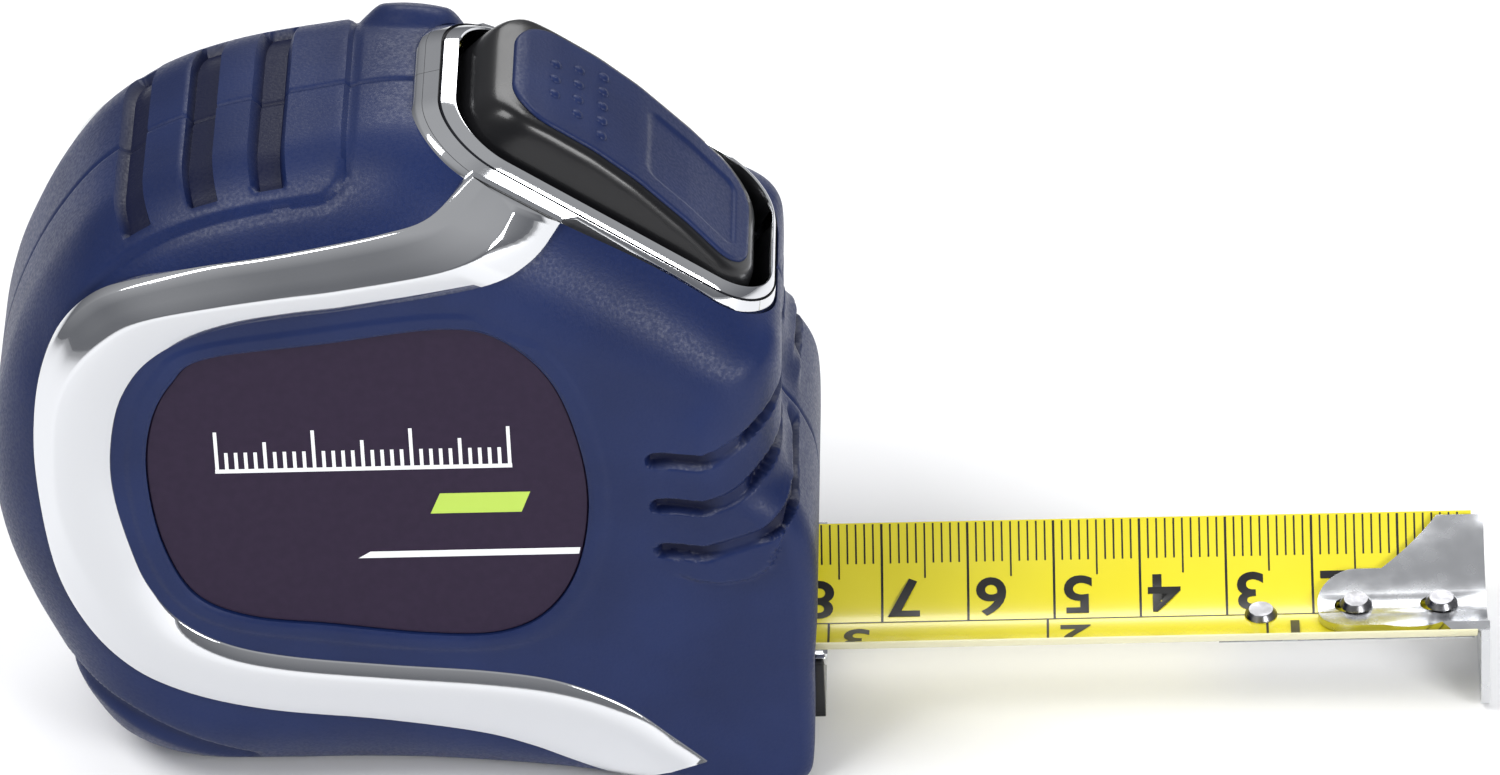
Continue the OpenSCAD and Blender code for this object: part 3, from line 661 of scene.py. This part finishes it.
def surface_depth(x, z):
    """How far the plain rubber surface stands from the middle plane at x, z."""
    way = np.array([x, z]) - CASE_CENTRE
    here = math.atan2(way[1], way[0])
    reach = np.interp(here, RIM_ANGLE, RIM_REACH, period=2 * math.pi)
    r = np.interp(here, RIM_ANGLE, RIM_RADIUS, period=2 * math.pi)
    drop = min(max(reach - math.hypot(*way), 0), r)
    return GRIP_HALF - r + math.sqrt(r * r - (r - drop) ** 2)


BAND_CLEAR = 0.35
BAND_THICK = 1.6
CREASE_RISE = 1.5
# Shares of the way from the band's outer edge to its crease where the rubber under it is cleared.
CLEARED_AT = (0.3, 0.6)


def band_section(station):
    """The band's cross-section at one station, from its hidden outer foot to its inner foot."""
    outer_x, outer_z, crease_x, crease_z, inner_x, inner_z, outer_y, inner_y = station
    edge_y = max(outer_y, surface_depth(outer_x, outer_z) + BAND_CLEAR)
    outer = np.array([outer_x, edge_y, outer_z])
    crease = np.array([crease_x, (outer_y + inner_y) / 2 + CREASE_RISE, crease_z])
    inner = np.array([inner_x, inner_y, inner_z])
    to_outer = (outer - crease) / np.linalg.norm(outer - crease)
    to_inner = (inner - crease) / np.linalg.norm(inner - crease)
    down = np.array([0, 1.0, 0])
    deep = min(BAND_THICK, outer_y - 14.0)
    facet = []
    for t in CLEARED_AT:
        x, y, z = outer + (crease - outer) * t
        facet.append(np.array([x, max(y, surface_depth(x, z) + 0.3), z]))
    return [
        outer - down * deep, outer - down * 0.2, outer - to_outer * 0.2,
        *facet, crease + to_outer * 0.35, crease + (to_outer + to_inner) * 0.1,
        crease + to_inner * 0.35, inner - to_inner * 0.2, inner - down * 0.2,
        inner - down * deep,
    ]


def band(side):
    """The chrome band that curls round one label."""
    sections = np.array([band_section(s) for s in open_curve(BAND, 7)])
    points = (sections * np.array([1, side, 1])).reshape(-1, 3)
    name = SIDE_NAMES[side]
    build("chrome_band_" + name, points, capped_faces(*sections.shape[:2]), [CHROME], "case",
          "band_" + name, sharp_deg=50)


LABEL_BACK = 20.5
LABEL_FACE = 21.3
LABEL_BEVEL = 0.18
PRINT_LIFT = 0.03


def label(side):
    """A flat plate in the grip's opening, its outer edge bevelled."""
    outline = closed_curve(LABEL_RIM, 8)
    q = outline - outline.mean(0)
    small = outline.mean(0) + q * (1 - LABEL_BEVEL / np.linalg.norm(q, axis=1))[:, None]
    levels = [(outline, LABEL_BACK), (outline, LABEL_FACE - LABEL_BEVEL), (small, LABEL_FACE)]
    points = np.vstack([at_depth(p, side * y) for p, y in levels])
    name = SIDE_NAMES[side]
    build("side_label_" + name, points, capped_faces(len(levels), len(outline)), [LABEL],
          "case", "label_" + name, sharp_deg=30)


def joined(name, quads, material, body):
    """Several small flat shapes as one piece."""
    points, faces = [], []
    for q in quads:
        base = len(points)
        points += list(q)
        faces.append(tuple(range(base, base + len(q))))
    build(name, np.array(points), faces, [material], body, recalc=False)


# Ruler on the label: first mark and baseline, pitch and number of marks, and their lengths.
RULER_START = (-19.6, 47.0)
RULER_PITCH = 1.1
RULER_MARKS = 31
RULER_LENGTHS = ((10, 5.2), (5, 3.7), (1, 2.3))
STRIPE = ((-4.4, 34.1), (20.6, 34.1), (20.8, 35.0), (-3.0, 35.0))
CHIP = ((4.1, 40.2), (14.4, 40.2), (15.5, 43.0), (5.3, 43.0))


def mark_length(number, lengths):
    """The length for the first of the steps that the mark's number is a whole multiple of."""
    return next(length for step, length in lengths if number % step == 0)


def label_print(side):
    """Ruler marks, a green chip and a stripe, where a maker would print."""
    name = SIDE_NAMES[side]

    def flat(shape):
        across = [(x if side < 0 else 2 * LABEL_CENTRE[0] - x, z) for x, z in shape]
        return [(x, side * (LABEL_FACE + PRINT_LIFT), z) for x, z in across]

    def bar(x0, x1, z0, z1):
        return flat([(x0, z0), (x1, z0), (x1, z1), (x0, z1)])

    first, low = RULER_START
    end = first + RULER_PITCH * (RULER_MARKS - 1)
    marks = [bar(first - 0.25, end + 0.25, low - 0.55, low)]
    for i in range(RULER_MARKS):
        x = first + RULER_PITCH * i
        marks.append(bar(x - 0.2, x + 0.2, low, low + mark_length(i, RULER_LENGTHS)))
    joined("label_marks_" + name, marks + [flat(STRIPE)], INK_WHITE, "case")
    joined("label_chip_" + name, [flat(CHIP)], INK_GREEN, "case")


# ---------------------------------------------------------------- bezel and button

# Section of the bezel: share of its width from the outside, height off the slope.
BEZEL_SECTION = np.array([
    (0.0, -3.6), (0.0, -1.4), (0.03, -1.15), (0.14, -0.67), (0.15, -0.63), (0.38, 0.33),
    (0.39, 0.37), (0.47, 0.7), (0.48, 0.3), (0.56, 0.3), (0.575, 0.82), (0.88, 1.72),
    (0.93, 1.76), (0.98, 1.6), (1.0, 1.2), (1.0, -3.6),
])
# Rows of that section with a long dark slot in each side, and where it starts and ends.
SIDE_SLOT_ROWS = (3, 4, 5, 6)
SIDE_SLOT_FLOOR = (4, 5)
SIDE_SLOT_SPAN = (-5.5, 18.0)
SIDE_SLOT_DEPTH = 0.9
# Faces between these rows, and the slots, are dark: the line round the bezel's middle.
DARK_FACES = (7, 8, 9) + SIDE_SLOT_ROWS[:-1]
BEZEL_SEAM = 0.03


def half_outline(outline, side):
    """The part of an outline on one side of the middle, in order, cut off just short of it."""
    n = len(outline)
    half = [i for i in range(n) if side * outline[i, 1] > 0.02]
    start = [k for k in range(len(half)) if half[k] - half[k - 1] != 1][-1]
    half = half[start:] + half[:start]

    def seam(i, j):
        a, b = outline[i % n], outline[j % n]
        t = (side * BEZEL_SEAM - a[1]) / (b[1] - a[1])
        return a + (b - a) * t

    return np.vstack([seam(half[0], half[0] - 1), outline[half], seam(half[-1], half[-1] + 1)])


def side_slot(u, v):
    """How open the bezel's side slot is, 0 to 1, at points of its outer edge."""
    begin, end = SIDE_SLOT_SPAN
    taper = np.clip((end - u) / (end - begin), 0, 1) ** 0.6
    return smoothstep(0, 2, u - begin) * taper * (np.abs(v) > 10)


def bezel(side):
    """One half of the chrome bezel round the button."""
    outer = half_outline(rounded_rectangle(*BEZEL_OUTSIDE, arc=24, side=16), side)
    inner = half_outline(rounded_rectangle(*BEZEL_INSIDE, arc=24, side=16), side)
    slot = side_slot(*outer.T)
    lip_share, lip_height = BEZEL_SECTION[SIDE_SLOT_ROWS[0]]
    rows = []
    for row, (share, height) in enumerate(BEZEL_SECTION):
        shares, heights = np.full(len(outer), share), np.full(len(outer), height)
        if row in SIDE_SLOT_ROWS:
            shares = lip_share + (share - lip_share) * np.maximum(slot, 0.05)
            heights = lip_height + (height - lip_height) * np.maximum(slot, 0.05)
        if row in SIDE_SLOT_FLOOR:
            heights = heights - SIDE_SLOT_DEPTH * slot
        rows.append(np.column_stack([outer + (inner - outer) * shares[:, None], heights]))
    sections = np.array(rows).transpose(1, 0, 2)
    n = len(rows)
    name = SIDE_NAMES[side]
    obj = build("chrome_bezel_" + name, on_slope(sections.reshape(-1, 3)),
                capped_faces(len(outer), n), [CHROME, DARK], "case",
                "bezel_" + name, sharp_deg=32)
    for f in obj.data.polygons:
        on_rows = [v % n for v in f.vertices]
        is_strip = len(on_rows) == 4 and max(on_rows) - min(on_rows) == 1
        if is_strip and min(on_rows) in DARK_FACES:
            f.material_index = 1


def top_height(u):
    """Height of the button's top off the slope, its corners softened along the slope."""
    offsets = np.linspace(-0.8, 0.8, 9)
    return np.mean([np.interp(u + d, *BUTTON_TOP.T) for d in offsets], axis=0)


BUTTON_LOW = -4.6
# Rounding of the button's top edge: distance in from the side, share of the full height.
BUTTON_EDGE = (
    (0.0, 0.0), (0.15, 0.35), (0.4, 0.62), (0.7, 0.8), (0.95, 0.89), (1.25, 0.95),
    (1.6, 0.985), (2.0, 1.0), (3, 1), (4.5, 1), (6, 1), (8, 1), (9.6, 1), (11.2, 1),
)


def button():
    """The black shell of the lock button."""
    rings = []
    for d, share in BUTTON_EDGE:
        p = rounded_rectangle(*shrunk(BUTTON_OUTLINE, d, 0.3), arc=16, side=28)
        rings.append(np.column_stack([p, BUTTON_LOW + (top_height(p[:, 0]) - BUTTON_LOW) * share]))
    faces = capped_faces(len(rings), len(rings[0]))
    build("button_shell", on_slope(np.vstack(rings)), faces, [GLOSS_BLACK], "button",
          "lock_button", sharp_deg=45)


# Raised dots on the thumb pad: for each row its place down the slope, and its dots across.
DOT_ROWS = (
    (-10.8, (-2.9, 0.0, 2.9)),
    (-7.7, (-4.3, -1.45, 1.45, 4.3)),
    (-4.4, (-5.7, -2.85, 0.0, 2.85, 5.7)),
)
DOT_RADIUS = 0.75
DOT_HEIGHT = 0.42
# The edge of the pad: distance in from the side, height over the button.
PAD_EDGE = ((0.0, -0.8), (0.0, 0.1), (0.08, 0.26), (0.25, 0.36))
PAD_RISE = 0.38
# The dish: its middle down the slope, its half sizes less the corner radius, and that radius.
DISH_MIDDLE = 9.4
DISH_HALF = (5.4, 4.6)
DISH_CORNER = 1.4
DISH_DEPTH = 0.26


def dome(u, v, base):
    """A small raised dot on the slope, as closed rings up to one top point."""
    turns, levels = 16, 5
    points = []
    for k in range(levels):
        a = math.pi / 2 * k / levels
        for j in range(turns):
            w = 2 * math.pi * j / turns
            points.append((u + DOT_RADIUS * math.cos(a) * math.cos(w),
                           v + DOT_RADIUS * math.cos(a) * math.sin(w),
                           base + DOT_HEIGHT * math.sin(a)))
    points.append((u, v, base + DOT_HEIGHT))
    faces = ring_faces(levels, turns)
    last = (levels - 1) * turns
    faces += [(last + j, last + (j + 1) % turns, len(points) - 1) for j in range(turns)]
    faces.append(tuple(range(turns))[::-1])
    return points, faces


def strips_over(first, n, arc, line):
    """Faces that close a long rounded rectangle by strips between its two long edges."""
    reach, half_side = 3 * (arc + line) + arc, line // 2
    faces = []
    for i in range(-half_side, 2 * arc + line + half_side):
        j, k = reach - i, reach - i - 1
        strip = list(dict.fromkeys(first + q % n for q in (i, i + 1, k, j)))
        if len(strip) > 2:
            faces.append(tuple(strip))
    return faces


def pad_surface():
    """Rings of the thumb pad from its foot to its middle, with the dish at the front."""
    arc, line = 20, 60
    rings = []
    for d, rise in PAD_EDGE + tuple((d, PAD_RISE) for d in np.arange(0.5, 8.75, 0.2)):
        p = rounded_rectangle(*shrunk(PAD_OUTLINE, d, 0.1), arc, line)
        h = top_height(p[:, 0]) + rise
        if d > PAD_EDGE[-1][0]:
            past = np.abs(p - (DISH_MIDDLE, 0)) - DISH_HALF
            away = np.hypot(*np.maximum(past, 0).T) - DISH_CORNER
            h -= DISH_DEPTH * smoothstep(0.35, -0.35, away)
        rings.append(np.column_stack([p, h]))
    n = len(rings[0])
    faces = ring_faces(len(rings), n) + [tuple(range(n))]
    return list(np.vstack(rings)), faces + strips_over((len(rings) - 1) * n, n, arc, line)


def inlay():
    """The soft thumb pad, with raised dots at the rear and a shallow dish at the front."""
    points, faces = pad_surface()
    for u, row in DOT_ROWS:
        for v in row:
            more, polys = dome(u, v, float(top_height(u)) + 0.3)
            base = len(points)
            points += more
            faces += [tuple(base + i for i in f) for f in polys]
    build("thumb_pad", on_slope(np.array(points)), faces, [RUBBER_MAT], "button",
          "button_inlay", sharp_deg=60)


# ---------------------------------------------------------------- blade

def on_blade(x, arc, radius):
    """A point at arc millimetres from the middle line, measured on the printed face."""
    a = arc / PRINTED_RADIUS
    return np.stack([x, radius * np.sin(a), BLADE_AXIS_Z - radius * np.cos(a)], -1)


def blade():
    """The curved steel strip, yellow inside its curve and cream under it."""
    arcs = np.linspace(-BLADE_HALF_ARC, BLADE_HALF_ARC, 49)
    zero = np.zeros(len(arcs))
    section = np.concatenate([on_blade(zero, arcs, PRINTED_RADIUS),
                              on_blade(zero, arcs, BLADE_RADIUS)[::-1]])
    xs = np.linspace(MOUTH_X, ZERO_X - 1.4, 60)
    points = np.concatenate([section + np.array([x, 0, 0]) for x in xs])
    obj = build("printed_blade", points, capped_faces(len(xs), len(section)), [BLADE, CREAM],
                "blade", "blade", sharp_deg=50)
    for f in obj.data.polygons:
        c = f.center / MM
        if math.hypot(c.y, c.z - BLADE_AXIS_Z) > BLADE_RADIUS - BLADE_T * 0.6:
            f.material_index = 1


SCALE_START = MOUTH_X + 0.2
SCALE_END = ZERO_X - 2.0
BOLD_HALF_WIDTH = 0.14
FINE_HALF_WIDTH = 0.1
INK_LIFT = 0.03
DIGIT_LIFT = 0.045
# Lengths of the blade's marks: every so many marks, this long.
FULL_MARK = BLADE_HALF_ARC - 0.15
MILLIMETRE_MARKS = ((10, FULL_MARK), (5, 6.6), (1, 4.7))
SIXTEENTH_MARKS = ((16, FULL_MARK), (8, 6.4), (4, 5.0), (1, 3.9))


def strip_on_blade(x0, x1, a0, a1):
    """A thin printed mark that follows the blade's curve."""
    steps = max(1, int(abs(a1 - a0) / 0.8))
    arcs = np.linspace(a0, a1, steps + 1)
    radius = PRINTED_RADIUS - INK_LIFT
    left = on_blade(np.full(len(arcs), x0), arcs, radius)
    right = on_blade(np.full(len(arcs), x1), arcs, radius)
    return [(left[i], right[i], right[i + 1], left[i + 1]) for i in range(steps)]


def scale_along_edge(pitch, lengths, edge):
    """Marks from one edge (1 or -1) of the blade inwards, over the whole printed length."""
    quads = []
    for n in range(1, int((ZERO_X - SCALE_START) / pitch) + 1):
        x = ZERO_X - pitch * n
        if not SCALE_START < x < SCALE_END:
            continue
        half_width = BOLD_HALF_WIDTH if n % lengths[0][0] == 0 else FINE_HALF_WIDTH
        inner_end = FULL_MARK - mark_length(n, lengths)
        quads += strip_on_blade(x - half_width, x + half_width, edge * FULL_MARK,
                                edge * inner_end)
    return quads


def blade_marks():
    """Millimetres along one edge, sixteenths of an inch along the other, a line between."""
    quads = scale_along_edge(1, MILLIMETRE_MARKS, 1)
    quads += scale_along_edge(INCH / 16, SIXTEENTH_MARKS, -1)
    quads += strip_on_blade(SCALE_START, SCALE_END, -0.1, 0.1)
    joined("scale_marks", quads, INK_BLACK, "blade")


def digit(text, x, arc, size):
    """One number printed on the blade, read from the far side."""
    curve = bpy.data.curves.new("digit", "FONT")
    curve.body = text
    curve.align_x = "CENTER"
    curve.align_y = "CENTER"
    curve.size = size
    curve.offset = 0.02 * size
    curve.resolution_u = 5
    source = bpy.data.objects.new("digit_source", curve)
    bpy.context.scene.collection.objects.link(source)
    bpy.context.view_layer.update()
    graph = bpy.context.evaluated_depsgraph_get()
    mesh = bpy.data.meshes.new_from_object(source.evaluated_get(graph))
    bpy.data.objects.remove(source)
    flat = np.array([v.co for v in mesh.vertices])
    faces = [tuple(f.vertices) for f in mesh.polygons]
    bpy.data.meshes.remove(mesh)
    bpy.data.curves.remove(curve)
    return on_blade(x - flat[:, 0], arc - flat[:, 1], PRINTED_RADIUS - DIGIT_LIFT), faces


def blade_digits():
    """Centimetres along one edge, inches along the other, each beside its own mark."""
    numbers = [(n, ZERO_X - 10 * n + (2.7 if n < 8 else 2.6), 4.0, 7.6) for n in range(2, 9)]
    numbers += [(n, ZERO_X - INCH * n + 3.2, -3.7, 7.4) for n in range(1, 4)]
    points, faces = [], []
    for n, x, arc, size in numbers:
        more, polys = digit(str(n), x, arc, size)
        base = len(points)
        points.extend(more)
        faces.extend(tuple(base + i for i in f) for f in polys)
    build("scale_digits", np.array(points), faces, [INK_BLACK], "blade", recalc=False)


# ---------------------------------------------------------------- carried-over pieces

CARRIED = {
    "shell_right": DARK, "shell_left": DARK, "button_pin": STEEL, "lock_spring": STEEL,
    "brake_lever": DARK, "brake_pad": DARK, "brake_pin": STEEL, "reel_post": STEEL,
    "reel_drum": DRUM, "drum_cover": DRUM, "power_spring": STEEL, "blade_coil": BLADE,
    "blade_lead": BLADE, "lone_rivet": RIVET, "hook_backing": STEEL, "hook": STEEL,
    "hook_rivets": RIVET, "mouth_guard": GLOSS_BLACK, "mouth_strip": CHROME,
    "belt_clip": STEEL, "clip_screw": STEEL, "case_screws": STEEL,
}
EDGE_ROUNDING = {
    "lone_rivet": 0.22, "hook_rivets": 0.22, "hook": 0.22, "mouth_guard": 0.25,
    "mouth_strip": 0.12, "belt_clip": 0.22, "clip_screw": 0.15, "hook_backing": 0.12,
}


def dress_carried_nodes():
    """Materials for the CAD nodes that stay as they are, with fine rounding where it shows."""
    for name, material in CARRIED.items():
        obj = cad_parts[name]
        obj.data.materials.clear()
        obj.data.materials.append(material)
        if name in EDGE_ROUNDING:
            weld = obj.modifiers.new("weld", "WELD")
            weld.merge_threshold = 0.01 * MM
            bevel = obj.modifiers.new("edges", "BEVEL")
            bevel.width = EDGE_ROUNDING[name] * MM
            bevel.segments = 3
            bevel.limit_method = "ANGLE"
            bevel.angle_limit = math.radians(40)


# ---------------------------------------------------------------- camera, floor and light

# Camera fitted to the photo: angles in degrees, lens in millimetres on a 36 mm sensor.
CAMERA_AZIMUTH = 2.405
CAMERA_ELEVATION = 36.122
CAMERA_ROLL = -2.66
CAMERA_DISTANCE = 1287.0
CAMERA_TARGET = Vector((39.92, 0.0, 41.27))
CAMERA_LENS = 270.3
CAMERA_SENSOR = 36
# Metres, like the lights below.
FLOOR_HALF = 3.0
FLOOR_DROP = 0.02 * MM


def make_camera():
    az, el, roll = map(math.radians, (CAMERA_AZIMUTH, CAMERA_ELEVATION, CAMERA_ROLL))
    forward = Vector((-math.sin(az) * math.cos(el), math.cos(az) * math.cos(el), -math.sin(el)))
    right = Vector((math.cos(az), math.sin(az), 0))
    up = right.cross(forward)
    cam_x = math.cos(roll) * right + math.sin(roll) * up
    cam_y = -math.sin(roll) * right + math.cos(roll) * up
    data = bpy.data.cameras.new("camera")
    data.sensor_width = CAMERA_SENSOR
    data.lens = CAMERA_LENS
    data.clip_start, data.clip_end = 0.1, 20
    cam = bpy.data.objects.new("camera", data)
    bpy.context.scene.collection.objects.link(cam)
    turn = Matrix((cam_x, cam_y, -forward)).transposed().to_4x4()
    place = (CAMERA_TARGET - forward * CAMERA_DISTANCE) * MM
    cam.matrix_world = Matrix.Translation(place) @ turn
    bpy.context.scene.camera = cam


def make_floor():
    mesh = bpy.data.meshes.new("floor")
    far = FLOOR_HALF
    mesh.from_pydata([(-far, -far, 0), (far, -far, 0), (far, far, 0), (-far, far, 0)], [],
                     [(0, 1, 2, 3)])
    floor = bpy.data.objects.new("floor", mesh)
    bpy.context.scene.collection.objects.link(floor)
    floor.location.z = -FLOOR_DROP
    mat, _, shader = new_material("pale_floor", (0.93, 0.93, 0.935), 0.8)
    shader.inputs["Specular IOR Level"].default_value = 0.1
    mesh.materials.append(mat)


def area_light(name, place, aim, size, power):
    """A rectangular light, its place, aim and size in metres and its power in watts."""
    data = bpy.data.lights.new(name, "AREA")
    data.shape = "RECTANGLE"
    data.size, data.size_y = size
    data.energy = power
    light = bpy.data.objects.new(name, data)
    bpy.context.scene.collection.objects.link(light)
    light.location = place
    way = Vector(aim) - Vector(place)
    light.rotation_mode = "QUATERNION"
    light.rotation_quaternion = way.to_track_quat("-Z", "Y")


def make_light():
    """A pale studio, darker below, with three soft lights."""
    world = bpy.data.worlds.new("studio")
    bpy.context.scene.world = world
    world.use_nodes = True
    tree = world.node_tree
    back = tree.nodes["Background"]
    back.inputs["Strength"].default_value = 0.5
    coords = tree.nodes.new("ShaderNodeTexCoord")
    height = tree.nodes.new("ShaderNodeSeparateXYZ")
    tree.links.new(coords.outputs["Generated"], height.inputs["Vector"])
    add_ramp(tree, height.outputs["Z"], (0.4, 0.41, 0.44), (0.97, 0.98, 1.0),
             back.inputs["Color"], span=(0.05, 0.75))
    area_light("key", (-0.35, -0.25, 0.75), (0.02, 0, 0.04), (0.42, 0.34), 4.6)
    area_light("fill", (0.5, -0.55, 0.35), (0.04, 0, 0.03), (0.3, 0.24), 3.6)
    area_light("back", (0.15, 0.65, 0.55), (0.03, 0, 0.05), (0.7, 0.25), 3.2)


for side in SIDE_NAMES:
    grip(side)
    band(side)
    label(side)
    label_print(side)
    bezel(side)
button()
inlay()
blade()
blade_marks()
blade_digits()
dress_carried_nodes()
make_camera()
make_floor()
make_light()
bpy.context.scene.view_settings.view_transform = "Standard"
